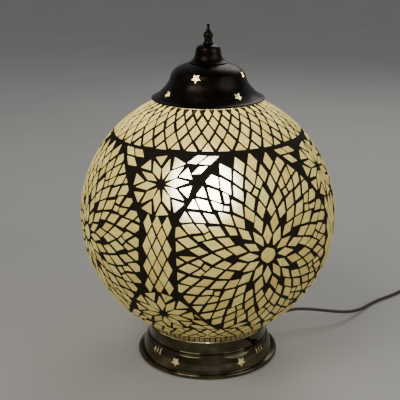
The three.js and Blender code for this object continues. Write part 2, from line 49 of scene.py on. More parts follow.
GLOBE_Z = 222.9
GLOBE_RADIUS = 190.0
GLOBE_HALF_HEIGHT = 187.0
GLASS_INSET = 2.9
GLASS_WALL = 2.4
GLASS_SEGMENTS = 128
TOP_LATITUDE = 67.2
LOW_LATITUDE = -61.5
NECK_RADIUS = 90.4
NECK_FOOT_Z = 51.7
GLOW_CENTRE = (-8.0, 0.0, 263.0)
GLOW_RADIUS = 181.0
GLOW_FALL = -4.4
# Painted highlight: the bulb seen through the glass, painted as a white hot spot with a halo at a fixed place
# on the front of the globe.
PAINTED_HOT_SPOT = (-5.0, -164.0, 312.0)
PAINTED_HOT_REACH = 38.0
PAINTED_HOT_GLOW = 12.0
PAINTED_HALO_REACH = 95.0
PAINTED_HALO_GLOW = 0.42

SKIRT_FOOT = (100.6, 6.2)
SKIRT_HEAD = (92.4, 30.2)
WALL_ROLL = 1.3
ROLL_FACTOR = 6.75  # one over the greatest value of share ** 2 * (1 - share)
BASE_SEGMENTS = 224
BEAD_RING = 104.5
BEAD_RADIUS = 3.5
SHEET = 1.2
BASE_STARS = (-29, 31, 91, 151, 211, 271)
SLOT_GROUPS = (-51.5, 54.5, 128.5, 234.5)
GLAND_AZIMUTH = 119.5
GLAND_Z = 14.0
BASE_STAR_Z = 17.5
SLOT_Z = 24.0
SKIRT_RUN = SKIRT_FOOT[0] - SKIRT_HEAD[0]
SKIRT_RISE = SKIRT_HEAD[1] - SKIRT_FOOT[1]
SKIRT_TILT = degrees(atan2(SKIRT_RUN, SKIRT_RISE))
THUMB_AZIMUTHS = (45, 225)
THUMB_Z = 43.5
THUMB_TIP = 88.1
STAR_WAIST = 0.52  # inner radius of a punched star, as a share of the outer one
PUNCH_DEPTH = 6.0
CAP_SEGMENTS = 192

CORD_RADIUS = 2.6
ON_TABLE = 2.7  # height of the cord's middle where it lies on the table
COIL_CENTRE = (398.3, 214.5)
COIL_OUTER = 37.9
COIL_INNER = 21.0
TAIL_X = COIL_CENTRE[0] + COIL_OUTER
SWITCH_Y = 116.0
SWITCH_MID_Z = 7.6
SWITCH_HALF = 29.0
PLUG_Y = -16.0
PLUG_MID_Z = 7.2


# ---- camera

def add_object(name, data):
    """Makes an object of the data and puts it in the scene."""
    item = bpy.data.objects.new(name, data)
    bpy.context.scene.collection.objects.link(item)
    return item


def make_camera():
    data = bpy.data.cameras.new("camera")
    data.sensor_width, data.lens = 36.0, 80.8
    data.clip_start, data.clip_end = 0.05, 60.0
    camera = add_object("camera", data)
    camera.location = (0.0, -1.2796, 0.6463)
    camera.rotation_euler = (pi / 2 - 0.3058, 0.0, 0.0091)
    bpy.context.scene.camera = camera


make_camera()


# ---- material helpers

def new_material(name):
    material = bpy.data.materials.new(name)
    material.use_nodes = True
    tree = material.node_tree
    return material, tree, tree.nodes["Principled BSDF"]


def texture(tree, kind, scale, stretch=(1, 1, 1)):
    """A texture node that reads object coordinates."""
    source = tree.nodes.new("ShaderNodeTexCoord")
    mapping = tree.nodes.new("ShaderNodeMapping")
    mapping.inputs["Scale"].default_value = stretch
    tree.links.new(source.outputs["Object"], mapping.inputs["Vector"])
    node = tree.nodes.new(kind)
    node.inputs["Scale"].default_value = scale
    tree.links.new(mapping.outputs["Vector"], node.inputs["Vector"])
    return node


def noise(tree, scale, detail=3.0, roughness=0.5, stretch=(1, 1, 1)):
    node = texture(tree, "ShaderNodeTexNoise", scale, stretch)
    node.inputs["Detail"].default_value = detail
    node.inputs["Roughness"].default_value = roughness
    return node.outputs["Fac"]


def ramp(tree, factor, stops):
    node = tree.nodes.new("ShaderNodeValToRGB")
    elements = node.color_ramp.elements
    while len(elements) < len(stops):
        elements.new(0.5)
    for element, (position, colour) in zip(elements, stops):
        element.position = position
        if isinstance(colour, (int, float)):
            colour = (colour, colour, colour)
        element.color = (*colour, 1.0)
    tree.links.new(factor, node.inputs["Fac"])
    return node.outputs["Color"]


def feed(tree, socket, value):
    """Sets a socket to a number or a colour, or links another socket to it."""
    if isinstance(value, (int, float)):
        socket.default_value = value
    elif isinstance(value, tuple):
        socket.default_value = (*value, 1.0)
    else:
        tree.links.new(value, socket)


def math_node(tree, operation, first, second):
    node = tree.nodes.new("ShaderNodeMath")
    node.operation = operation
    feed(tree, node.inputs[0], first)
    feed(tree, node.inputs[1], second)
    return node.outputs["Value"]


def mix_colour(tree, factor, first, second, blend="MIX"):
    node = tree.nodes.new("ShaderNodeMix")
    node.data_type = "RGBA"
    node.blend_type = blend
    for index, value in ((0, factor), (6, first), (7, second)):
        feed(tree, node.inputs[index], value)
    return node.outputs[2]


def bump(tree, height, distance, strength=1.0):
    node = tree.nodes.new("ShaderNodeBump")
    node.inputs["Strength"].default_value = strength
    node.inputs["Distance"].default_value = distance
    tree.links.new(height, node.inputs["Height"])
    tree.links.new(node.outputs["Normal"], tree.nodes["Principled BSDF"].inputs["Normal"])


# ---- materials

def paint(tree, socket, factor, stops):
    """Feeds a socket of the shader with a ramp over a factor."""
    tree.links.new(ramp(tree, factor, stops), tree.nodes["Principled BSDF"].inputs[socket])


def metal(name, low, middle, high, rough, wear_scale, grain=0.00004, metallic=1.0):
    material, tree, shader = new_material(name)
    patina = noise(tree, wear_scale, 6.0, 0.62)
    paint(tree, "Base Color", patina, [(0.32, low), (0.52, middle), (0.74, high)])
    brushed = noise(tree, 60.0, 4.0, 0.6, (1, 1, 34))
    wear = noise(tree, wear_scale * 2.4, 5.0, 0.6)
    paint(tree, "Roughness", wear, [(0.3, rough[0]), (0.72, rough[1])])
    shader.inputs["Metallic"].default_value = metallic
    bump(tree, brushed, grain)
    return material


def plastic(name, dark, light, rough):
    material, tree, _ = new_material(name)
    grain = noise(tree, 700.0, 3.0, 0.55)
    paint(tree, "Base Color", noise(tree, 45.0, 4.0), [(0.35, dark), (0.7, light)])
    paint(tree, "Roughness", grain, [(0.3, rough - 0.06), (0.7, rough + 0.08)])
    bump(tree, grain, 0.00005)
    return material


def surface(name, grain, dark, light, rough, relief, distance, strength=1.0, light_at=0.7):
    """A dull material whose colour follows one noise; so does its roughness, if that is a pair,
    and its relief, if that has no noise of its own."""
    material, tree, shader = new_material(name)
    field = noise(tree, *grain)
    paint(tree, "Base Color", field, [(0.3, dark), (light_at, light)])
    if isinstance(rough, tuple):
        paint(tree, "Roughness", field, [(0.3, rough[0]), (0.7, rough[1])])
    else:
        shader.inputs["Roughness"].default_value = rough
    bump(tree, noise(tree, *relief) if relief else field, distance, strength)
    return material, shader


def distance_from(tree, point, unit):
    """Distance from a point given in millimetres, in the given unit of millimetres."""
    source = tree.nodes.new("ShaderNodeTexCoord")
    away = tree.nodes.new("ShaderNodeVectorMath")
    away.operation = "DISTANCE"
    away.inputs[1].default_value = tuple(Vector(point) * MM)
    tree.links.new(source.outputs["Object"], away.inputs[0])
    return math_node(tree, "DIVIDE", away.outputs["Value"], unit * MM)


def around_painted_hot_spot(tree, reach, power, strength):
    """Painted light about the hot spot: strength * exp(-(distance / reach) ** power)."""
    fall = math_node(tree, "POWER", distance_from(tree, PAINTED_HOT_SPOT, reach), power)
    return math_node(tree, "MULTIPLY", math_node(tree, "POWER", exp(-1), fall), strength)


def tile_material(name, glow_low, glow_high):
    """Opal glass lit from inside: brighter near the bulb, and white at the hot spot, which is a painted
    highlight of the bulb fixed on the front of the globe.
    """
    material, tree, shader = new_material(name)
    geometry = tree.nodes.new("ShaderNodeNewGeometry")
    piece = geometry.outputs["Random Per Island"]
    cells = texture(tree, "ShaderNodeTexVoronoi", 520.0).outputs["Distance"]
    seeds = ramp(tree, cells, [(0.10, 0.70), (0.5, 1.0)])
    cloud = ramp(tree, noise(tree, 210.0, 4.0, 0.6), [(0.3, 0.76), (0.7, 1.1)])
    tints = [(0.0, (0.82, 0.63, 0.17)), (0.45, (0.87, 0.71, 0.22)), (1.0, (0.74, 0.67, 0.22))]
    shade = mix_colour(tree, 1.0, ramp(tree, piece, tints), seeds, "MULTIPLY")
    shade = mix_colour(tree, 1.0, shade, cloud, "MULTIPLY")
    # Painted highlight: the white hot spot and its halo, added to the glow.
    hot = around_painted_hot_spot(tree, PAINTED_HOT_REACH, 3.0, PAINTED_HOT_GLOW)
    halo = around_painted_hot_spot(tree, PAINTED_HALO_REACH, 2.0, PAINTED_HALO_GLOW)
    painted_highlight_share = ramp(tree, math_node(tree, "MULTIPLY", hot, 0.3), [(0.05, 0.0), (0.9, 1.0)])
    seen = mix_colour(tree, painted_highlight_share, shade, (1.0, 0.93, 0.74))
    tree.links.new(seen, shader.inputs["Emission Color"])
    near = math_node(tree, "POWER", distance_from(tree, GLOW_CENTRE, GLOW_RADIUS), GLOW_FALL)
    own = ramp(tree, piece, [(0.0, glow_low), (1.0, glow_high)])
    glow = math_node(tree, "MULTIPLY", near, own)
    lit = math_node(tree, "ADD", math_node(tree, "ADD", glow, halo), hot)
    tree.links.new(lit, shader.inputs["Emission Strength"])
    body = ramp(tree, piece, [(0.0, (0.40, 0.31, 0.10)), (1.0, (0.46, 0.38, 0.14))])
    tree.links.new(mix_colour(tree, 1.0, body, cloud, "MULTIPLY"), shader.inputs["Base Color"])
    shader.inputs["Transmission Weight"].default_value = 0.35
    shader.inputs["IOR"].default_value = 1.45
    shader.inputs["Coat Weight"].default_value = 0.25
    shader.inputs["Coat Roughness"].default_value = 0.12
    paint(tree, "Roughness", noise(tree, 400.0, 3.0), [(0.3, 0.30), (0.7, 0.44)])
    bump(tree, noise(tree, 260.0, 3.0, 0.55), 0.0003, 0.5)
    return material


def clear_glass_material():
    material, tree, shader = new_material("clear_globe_glass")
    tints = [(0.3, (0.86, 0.88, 0.78)), (0.7, (0.93, 0.93, 0.86))]
    paint(tree, "Base Color", noise(tree, 30.0), tints)
    paint(tree, "Roughness", noise(tree, 90.0), [(0.3, 0.03), (0.7, 0.09)])
    shader.inputs["Alpha"].default_value = 0.14
    return material


def bulb_material():
    material, tree, shader = new_material("bulb_frosted_glass")
    glow = ramp(tree, noise(tree, 60.0), [(0.3, (1.0, 0.88, 0.62)), (0.7, (1.0, 0.93, 0.74))])
    tree.links.new(glow, shader.inputs["Emission Color"])
    tree.links.new(glow, shader.inputs["Base Color"])
    shader.inputs["Emission Strength"].default_value = 60.0
    shader.inputs["Roughness"].default_value = 0.4
    return material


antique = metal(
    "antique_metal", (0.009, 0.007, 0.006), (0.022, 0.016, 0.012), (0.048, 0.033, 0.021), (0.24, 0.4), 55.0
)
polished = metal(
    "polished_metal", (0.055, 0.045, 0.026), (0.12, 0.099, 0.058), (0.25, 0.21, 0.125), (0.05, 0.13),
    38.0, 0.00001
)
raw_sheet = metal(
    "raw_sheet", (0.55, 0.44, 0.24), (0.68, 0.56, 0.34), (0.78, 0.68, 0.46), (0.5, 0.7), 60.0, metallic=0.25
)
screw_brass = metal(
    "screw_brass", (0.42, 0.30, 0.13), (0.56, 0.42, 0.20), (0.68, 0.54, 0.30), (0.2, 0.36), 90.0
)
zinc = metal("zinc_steel", (0.30, 0.30, 0.29), (0.46, 0.46, 0.45), (0.58, 0.57, 0.55), (0.32, 0.5), 60.0)
tiles_lit = tile_material("lit_glass_tile", 0.46, 0.60)
# Painted shade: the neck tiles get the same glass with a dimmer glow, darker than the tiles above.
neck_shaded = tile_material("neck_glass_tile_painted_shade", 0.12, 0.2)
grout, grout_shader = surface(
    "dark_grout", (180.0, 5.0, 0.6), (0.008, 0.005, 0.002), (0.028, 0.018, 0.008), (0.62, 0.85),
    (900.0, 4.0, 0.7), 0.0003, 0.8, 0.75
)
grout_shader.inputs["Specular IOR Level"].default_value = 0.25
clear_glass = clear_glass_material()
bulb_glass = bulb_material()
felt, felt_shader = surface(
    "green_felt", (1500.0, 5.0, 0.75), (0.015, 0.028, 0.014), (0.05, 0.075, 0.045), 0.95, None, 0.0004
)
felt_shader.inputs["Sheen Weight"].default_value = 0.4
sheath, _ = surface(
    "cord_sheath", (240.0, 4.0, 0.6), (0.055, 0.042, 0.028), (0.095, 0.075, 0.05), (0.34, 0.5),
    (1200.0, 2.0), 0.00006
)
ceramic, _ = surface(
    "white_ceramic", (420.0, 4.0), (0.66, 0.64, 0.58), (0.78, 0.76, 0.71), 0.55, None, 0.0001
)
holder_black = plastic("holder_bakelite", (0.02, 0.016, 0.014), (0.036, 0.028, 0.022), 0.36)
fitting_brown = plastic("fitting_plastic", (0.05, 0.038, 0.027), (0.078, 0.06, 0.043), 0.42)
rocker_ivory = plastic("rocker_plastic", (0.62, 0.59, 0.5), (0.74, 0.71, 0.62), 0.34)


# ---- geometry helpers

def polar(radius, azimuth, z):
    angle = radians(azimuth)
    return Vector((radius * sin(angle), -radius * cos(angle), z))


def link(name, mesh, material, body, smooth=40.0):
    """Adds a mesh given in millimetres as a piece that rides on a body."""
    mesh.transform(Matrix.Scale(MM, 4))
    mesh.polygons.foreach_set("use_smooth", [True] * len(mesh.polygons))
    mesh.set_sharp_from_angle(angle=radians(smooth))
    mesh.materials.append(material)
    piece = add_object(name, mesh)
    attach(piece, body)
    return piece


def mesh_from(name, vertices, faces):
    mesh = bpy.data.meshes.new(name)
    mesh.from_pydata([tuple(v) for v in vertices], [], faces)
    mesh.validate()
    return mesh


def spline(points, steps):
    """Catmull-Rom points through a list of (r, z) points."""
    points = [np.array(p, float) for p in points]
    ends = [2 * points[0] - points[1], *points, 2 * points[-1] - points[-2]]
    line = []
    for a, b, c, d in zip(ends, ends[1:], ends[2:], ends[3:]):
        square, cube = 2 * a - 5 * b + 4 * c - d, 3 * b - a - 3 * c + d
        for t in (i / steps for i in range(steps)):
            line.append(0.5 * (2 * b + (c - a) * t + square * t**2 + cube * t**3))
    line.append(points[-1])
    return [tuple(p) for p in line]


def arc(centre, radius, start, end, steps):
    """Points on a circle in the (r, z) plane; angles in degrees from +r."""
    line = []
    for i in range(steps + 1):
        angle = radians(start + (end - start) * i / steps)
        line.append((centre[0] + radius * cos(angle), centre[1] + radius * sin(angle)))
    return line


def lathe(name, profile, segments, closed=True, ripple=None):
    """Turns a profile of (r, z) about Z; points on the axis become poles. ripple(r, z, i)
    may change the radius of a point at segment i."""
    vertices, rings, faces = [], [], []
    for r, z in profile:
        if r < 1e-6:
            rings.append([len(vertices)] * segments)
            vertices.append((0.0, 0.0, z))
            continue
        rings.append(range(len(vertices), len(vertices) + segments))
        for i in range(segments):
            angle = 2 * pi * i / segments
            reach = ripple(r, z, i) if ripple else r
            vertices.append((reach * sin(angle), -reach * cos(angle), z))
    for low, high in zip(rings, rings[1:] + rings[:1] if closed else rings[1:]):
        for i in range(segments):
            j = (i + 1) % segments
            corners = dict.fromkeys((low[i], low[j], high[j], high[i]))
            if len(corners) > 2:
                faces.append(tuple(corners))
    return mesh_from(name, vertices, faces)


def place(mesh, radius, azimuth, z, tilt=0.0):
    """Turns a mesh drawn along +Z to point outwards at an azimuth, tilted up, and moves it there."""
    angle, lean = radians(azimuth), radians(tilt)
    level = cos(lean)
    out = Vector((sin(angle) * level, -cos(angle) * level, sin(lean)))
    side = Vector((cos(angle), sin(angle), 0.0))
    up = out.cross(side)
    origin = polar(radius, azimuth, z)
    for vertex in mesh.vertices:
        x, y, w = vertex.co
        vertex.co = origin + side * x + up * y + out * w
    return mesh


def star_outline(radius):
    outline = []
    for i in range(10):
        reach = radius if i % 2 == 0 else radius * STAR_WAIST
        angle = -pi / 2 + i * pi / 5
        outline.append((reach * cos(angle), reach * sin(angle)))
    return outline


def slot_outline(length, width):
    half = (length - width) / 2
    outline = []
    for end, start in ((1, 0.0), (-1, pi)):
        for i in range(7):
            angle = start + pi * i / 6
            outline.append((width / 2 * cos(angle), end * half + width / 2 * sin(angle)))
    return outline


def circle_outline(radius, sides=24):
    angles = [2 * pi * i / sides for i in range(sides)]
    return [(radius * cos(angle), radius * sin(angle)) for angle in angles]


def punch(outline, radius, azimuth, z, tilt):
    n = len(outline)
    vertices = [(x, y, end) for end in (-PUNCH_DEPTH, PUNCH_DEPTH) for x, y in outline]
    faces = [tuple(range(n - 1, -1, -1)), tuple(range(n, 2 * n))]
    faces += [(i, (i + 1) % n, n + (i + 1) % n, n + i) for i in range(n)]
    return place(mesh_from("punch", vertices, faces), radius, azimuth, z, tilt)


def pierce(mesh, punches):
    """Cuts the punches, which are clear of each other, out of a closed mesh."""
    merged = bmesh.new()
    for shape in punches:
        merged.from_mesh(shape)
    bmesh.ops.recalc_face_normals(merged, faces=merged.faces)
    cutter = bpy.data.meshes.new("cutter")
    merged.to_mesh(cutter)
    merged.free()
    target = add_object("target", mesh)
    tool = add_object("tool", cutter)
    modifier = target.modifiers.new("cut", "BOOLEAN")
    modifier.object = tool
    modifier.solver = "EXACT"
    bpy.context.view_layer.update()
    evaluated = target.evaluated_get(bpy.context.evaluated_depsgraph_get())
    result = bpy.data.meshes.new_from_object(evaluated)
    bpy.data.objects.remove(target)
    bpy.data.objects.remove(tool)
    return result


# ---- mains cord

LEAD_ROUTE = [
    (108.9, 61.6, 23.3), (118.7, 67.2, 26.8), (131.2, 73.8, 28.9), (146.0, 80.0, 28.9),
    (162.0, 84.2, 27.3), (178.0, 86.8, 25.2), (194.0, 89.4, 22.4), (210.0, 94.0, 18.8),
    (226.0, 101.4, 14.6), (241.0, 112.2, 10.2), (255.0, 126.2, 6.4), (267.5, 141.0, 3.8),
    (279.0, 155.4, 2.8), (291.0, 168.4, ON_TABLE), (304.0, 180.2, ON_TABLE),
    (320.0, 192.6, ON_TABLE), (337.0, 206.6, ON_TABLE), (355.2, 224.4, ON_TABLE),
]


def coil_points():
    """A flat coil of two layers: inwards on the table, then back outwards on top of it."""
    start = radians(135.8)
    turns = 6.377
    count = int(turns * 16)
    points = []
    for share in (i / count for i in range(1, count + 1)):
        inwards = 1 - abs(2 * share - 1)
        radius = COIL_OUTER - (COIL_OUTER - COIL_INNER) * inwards
        angle = start - share * turns * 2 * pi
        rise = min(max((share - 0.47) / 0.06, 0.0), 1.0)
        z = ON_TABLE + 5.25 * rise * rise * (3 - 2 * rise)
        x = COIL_CENTRE[0] + radius * cos(angle)
        points.append((x, COIL_CENTRE[1] + radius * sin(angle), z))
    return points


def tail_points():
    """From the coil through the switch to the plug."""
    near, far = SWITCH_Y + SWITCH_HALF, SWITCH_Y - SWITCH_HALF
    line = (
        (0, 201.0, 7.8), (0, 189.0, 7.2), (0, 178.5, 5.4), (0, 166.5, 5.2),
        (0, near + 9, 7.0), (0, near + 0.3, SWITCH_MID_Z), (0, SWITCH_Y, SWITCH_MID_Z),
        (0, far - 0.3, SWITCH_MID_Z), (0, far - 12, 6.6), (-0.8, far - 28, 3.4),
        (-2.4, far - 46, ON_TABLE), (-2.8, far - 64, ON_TABLE), (-1.4, far - 82, 4.0),
        (0, PLUG_Y + 4, PLUG_MID_Z - 0.4), (0, PLUG_Y - 6, PLUG_MID_Z),
    )
    return [(TAIL_X + x, y, z) for x, y, z in line]


def make_cord():
    points = LEAD_ROUTE + coil_points() + tail_points()
    data = bpy.data.curves.new("mains_cord", "CURVE")
    data.dimensions = "3D"
    data.resolution_u = 5
    data.bevel_depth = CORD_RADIUS * MM
    data.bevel_resolution = 4
    data.use_fill_caps = True
    line = data.splines.new("BEZIER")
    line.bezier_points.add(len(points) - 1)
    for knot, point in zip(line.bezier_points, points):
        knot.co = Vector(point) * MM
        knot.handle_left_type = "AUTO"
        knot.handle_right_type = "AUTO"
    cord = add_object("mains_cord", data)
    data.materials.append(sheath)
    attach(cord, "base")
    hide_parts("cord_lead", "cord_coil", "cord_to_switch", "cord_to_plug")
    return cord


mains_cord = make_cord()


# ---- mosaic layout

# Azimuth 0 is the front and grows towards +X; latitudes are the ellipsoid's own. The plane
# in which tiles are laid out is the stereographic one about the top of the globe.
TOP_ROWS = (64.4, 59.0, 53.8, 48.8)
TOP_COUNT = 40
TOP_LINE = 43.6
MEDALLION = (25.4, -1.0)
MEDALLION_EDGE = 39.7
# Count, phase, inner tip, widest, outer tip, half turn and half turn of a blunt inner end.
MEDALLION_RINGS = (
    (12, 0.0, 4.2, 8.4, 13.6, 15.0, 4.0),
    (12, 0.5, 8.9, 13.6, 18.6, 10.0, 0.0),
    (24, 0.5, 14.2, 18.8, 23.8, 7.1, 0.0),
    (24, 0.0, 19.0, 23.9, 28.9, 6.6, 0.0),
    (36, 0.75, 24.2, 28.8, 33.8, 4.8, 0.0),
    (36, 0.25, 29.0, 33.9, 38.9, 4.6, 0.0),
    (36, 0.75, 34.2, 39.1, 44.4, 4.4, 0.0),
)
STAR_CLEAR = 14.3
CORNER_LINE = 1.0
STAR_UPPER = (-21.4, 28.4)
STAR_LOWER = (-22.0, -31.5)
COLUMN_AZIMUTH = -21.2
COLUMN_HALF = 7.6
COLUMN_LINE = 0.3
NEAR_COLUMN = 40
COLUMN_ROWS = (11.9, 7.4, 2.9, -1.6, -6.1, -10.6, -15.1)
LOW_ROWS = (-46.4, -50.6, -54.6, -58.2)
LOW_COUNT = 44
TOP_PHASE = -0.02
STAR_EDGE = 14.0
NEIGHBOUR_REACH = 14
CELL = 10
# Kinds of tile in the order in which they are placed, each with half its grout in millimetres.
GROUT_HALF = {"star": 0.62, "column": 0.8, "corner": 1.0, "medallion": 1.05, "band": 1.4}
KINDS = list(GROUT_HALF)
SMALLEST_TILE = 15.0  # square millimetres
JITTER_ACROSS = 0.16
JITTER_UP = 0.14
CORNER_CUT = 0.55
LEAST_EDGE = 0.25
LEAST_INSIDE = 0.2  # share of a tile that has to be left within the latitudes of its kind
LEAST_LEFT = 0.38  # share of that which has to be left beside its neighbours
# Depths under the globe's surface, in millimetres: tiles, from back to crown, and grout.
TILE_BACK = 2.75
CROWN_DEPTH = 0.55
TILE_SHOULDER = 0.5
TILE_CROWN = 0.15
TILE_BEVEL = 0.6
TILE_LIFT = 0.15
GROUT_SINK = 0.65
GROUT_ROW = 2.6  # spacing of the loose points in the grout's sheet, in degrees
GROUT_STEP = 3.2
NECK_TILES = 72
NECK_TILE_FOOT = 52.3
NECK_TILE_HEAD = 57.6
WAVES = [
    (rng.choice((1, 2, 3, 5)), rng.uniform(2.0, 7.0), rng.uniform(0, 6.28), rng.uniform(0, 6.28))
    for _ in range(10)
]


def hand_laid(azimuth, latitude):
    """Slow drift of the pattern, as tiles laid by eye have."""
    across, up = radians(azimuth), radians(latitude)
    drift_a = sum(sin(m * across + f * up + p) for m, f, p, _ in WAVES)
    drift_l = sum(sin(m * across - f * up + q) for m, f, _, q in WAVES)
    share = max(cos(up), 0.35)
    return azimuth + 0.12 * drift_a / share, latitude + 0.10 * drift_l


def flat(azimuth, latitude):
    reach = tan(radians(90 - latitude) / 2)
    angle = radians(azimuth)
    return np.array((reach * sin(angle), -reach * cos(angle)))


def unflat(point):
    reach = hypot(point[0], point[1])
    return degrees(atan2(point[0], -point[1])), 90 - 2 * degrees(atan(reach))


def plane_scale(point):
    """Millimetres on the globe for one unit of the plane at a point."""
    return GLOBE_RADIUS * 2 / (1 + point[0] ** 2 + point[1] ** 2)


def around(centre, distance, bearing):
    """The point at a distance and a bearing (clockwise from up) on the globe, in degrees."""
    c, t, la = radians(distance), radians(bearing), radians(centre[1])
    latitude = asin(sin(la) * cos(c) + cos(la) * sin(c) * cos(t))
    north = cos(la) * cos(c) - sin(la) * sin(c) * cos(t)
    return centre[0] + degrees(atan2(sin(t) * sin(c), north)), degrees(latitude)


def distance_between(a, b):
    la, lb, turn = radians(a[1]), radians(b[1]), radians(a[0] - b[0])
    value = sin(la) * sin(lb) + cos(la) * cos(lb) * cos(turn)
    return degrees(acos(max(-1.0, min(1.0, value))))


def bearing_to(centre, point):
    la, lb, turn = radians(centre[1]), radians(point[1]), radians(point[0] - centre[0])
    north = cos(la) * sin(lb) - sin(la) * cos(lb) * cos(turn)
    return degrees(atan2(sin(turn) * cos(lb), north))


def cut_at_corner(tile, heart, star, inside):
    """Cuts a tile at the line that parts a medallion from a star; None if nothing is left."""
    shape = counter_clockwise(np.array(tile, float))[0]
    towards = bearing_to(heart, star)
    off = (bearing_to(heart, shape.mean(axis=0)) - towards + 180) % 360 - 180
    if abs(off) > 55:
        return tile
    reach = distance_between(heart, star) - STAR_CLEAR + (0.0 if inside else CORNER_LINE)
    tangent = tan(radians(reach))
    ends = []
    for bearing in (off - 3, off + 3):
        distance = degrees(atan(tangent / cos(radians(bearing))))
        ends.append(np.array(around(heart, distance, towards + bearing)))
    along = ends[1] - ends[0]
    normal = np.array((along[1], -along[0]))
    if ((np.array(heart) - ends[0]) @ normal > 0) != inside:
        normal = -normal
    part = clip(shape, ends[0], normal / np.linalg.norm(normal))
    return None if part is None else [tuple(p) for p in part]


def rhombus(azimuth, latitude, half_width, up, down=None):
    down = up if down is None else down
    left, right = azimuth - half_width, azimuth + half_width
    return [(azimuth, latitude - down), (right, latitude), (azimuth, latitude + up), (left, latitude)]


def kite(centre, bearing, inner, widest, outer, half_turn, blunt=0.0):
    corners = [(widest, half_turn), (outer, 0.0), (widest, -half_turn)]
    corners = ([(inner, -blunt), (inner, blunt)] if blunt else [(inner, 0.0)]) + corners
    return [around(centre, reach, bearing + turn) for reach, turn in corners]


def star_flower(centre, first):
    """Ten petals, with a triangle in each gap between their tips."""
    tiles = []
    for i in range(10):
        bearing = first + 36 * i + rng.uniform(-1.5, 1.5)
        tiles.append(kite(centre, bearing, 1.5, 6.7 + rng.uniform(-0.3, 0.3), 12.3, 18.0))
    for i in range(10):
        bearing = first + 18 + 36 * i + rng.uniform(-2, 2)
        corners = ((7.6, 0.0), (13.2, 13.5), (13.2, -13.5))
        tiles.append([around(centre, reach, bearing + turn) for reach, turn in corners])
    return tiles


def column(azimuth):
    tiles = []
    for row, latitude in enumerate(COLUMN_ROWS):
        for offset in (-2.25, 2.25) if row % 2 else (-4.5, 0.0, 4.5):
            tiles.append(rhombus(azimuth + offset, latitude, 2.25, 4.55))
    return tiles


def free_from(ring, bearing):
    """The distance from the heart at which a bearing is clear of a ring of kites."""
    count, phase, _, widest, outer, half_turn, _ = ring
    step = 360 / count
    off_tip = abs((bearing - phase * step + step / 2) % step - step / 2)
    return outer - (outer - widest) * min(off_tip / half_turn, 1.0)


def medallion(centre):
    """A disc in rings of kites."""
    tiles = [[around(centre, 3.6, 22.5 * i) for i in range(16)]]
    last = None
    for ring in MEDALLION_RINGS:
        count, phase, inner, widest, outer, half_turn, blunt = ring
        step = 360 / count
        for i in range(count):
            bearing = (i + phase) * step + rng.uniform(-0.04, 0.04) * step
            start = inner
            if last and last[0] != count:
                start = max(inner, free_from(last, bearing))
            wide = widest + rng.uniform(-0.2, 0.2)
            tiles.append(kite(centre, bearing, start, wide, outer, half_turn, blunt))
        last = ring
    for i in range(12):
        tiles.append(kite(centre, 22.5 + 30 * i + rng.uniform(-0.4, 0.4), 24.3, 26.8, 29.0, 4.2))
    return tiles


def lattice(origin, along, slant, columns, rows):
    """Parallelograms in rows; along and slant are steps in azimuth and latitude."""
    tiles = []
    for j in rows:
        for i in columns:
            x = origin[0] + i * along[0] + j * slant[0]
            y = origin[1] + i * along[1] + j * slant[1]
            far = (x + along[0] + slant[0], y + along[1] + slant[1])
            tiles.append([(x, y), (x + along[0], y + along[1]), far, (x + slant[0], y + slant[1])])
    return tiles


def band(rows, count, phase, up):
    """Staggered rows of diamonds right round the globe."""
    tiles = []
    step = 360 / count
    for row, latitude in enumerate(rows):
        shift = phase + (0.5 if row % 2 else 0.0)
        for i in range(count):
            tiles.append(rhombus((i + shift) * step, latitude, step / 2, up))
    return tiles


def counter_clockwise(polygon):
    x, y = polygon[:, 0], polygon[:, 1]
    area = 0.5 * float(np.sum(x * np.roll(y, -1) - np.roll(x, -1) * y))
    return (polygon, area) if area > 0 else (polygon[::-1].copy(), -area)


def clip(polygon, point, normal):
    """The part of a convex polygon on the side of a line that the normal points to."""
    sides = (polygon - point) @ normal
    kept = []
    n = len(polygon)
    for i in range(n):
        j = (i + 1) % n
        if sides[i] >= 0:
            kept.append(polygon[i])
        if (sides[i] >= 0) != (sides[j] >= 0):
            kept.append(polygon[i] + (polygon[j] - polygon[i]) * (sides[i] / (sides[i] - sides[j])))
    return np.array(kept) if len(kept) >= 3 else None


def edge_normals(polygon):
    """Outward unit normals of a counter-clockwise polygon."""
    edges = np.roll(polygon, -1, axis=0) - polygon
    normals = np.stack((edges[:, 1], -edges[:, 0]), axis=1)
    return normals / np.maximum(np.linalg.norm(normals, axis=1, keepdims=True), 1e-12)


def overlap(first, second):
    for a, b in ((first, second), (second, first)):
        for point, normal in zip(a, edge_normals(a)):
            if np.min((b - point) @ normal) > -1e-6:
                return False
    return True


def trimmed(polygon, neighbours):
    """Cuts a convex polygon back from its neighbours, each time along the edge that costs least."""
    for other in neighbours:
        if not overlap(polygon, other):
            continue
        best, best_area = None, 0.0
        for point, normal in zip(other, edge_normals(other)):
            part = clip(polygon, point, normal)
            if part is None:
                continue
            area = counter_clockwise(part)[1]
            if area > best_area:
                best, best_area = part, area
        if best is None:
            return None
        polygon = counter_clockwise(best)[0]
    return polygon


def shrunk(polygon, distances):
    """A convex polygon with each side moved in by a distance of its own."""
    result = polygon
    for point, normal, distance in zip(polygon, edge_normals(polygon), distances):
        result = clip(result, point - normal * distance, -normal)
        if result is None:
            return None
    return merged_corners(result, min(distances) * 0.3)


def merged_corners(polygon, least):
    kept = [polygon[0]]
    for point in polygon[1:]:
        if np.linalg.norm(point - kept[-1]) > least:
            kept.append(point)
    if len(kept) > 3 and np.linalg.norm(kept[0] - kept[-1]) <= least:
        kept.pop()
    return np.array(kept) if len(kept) >= 3 else None


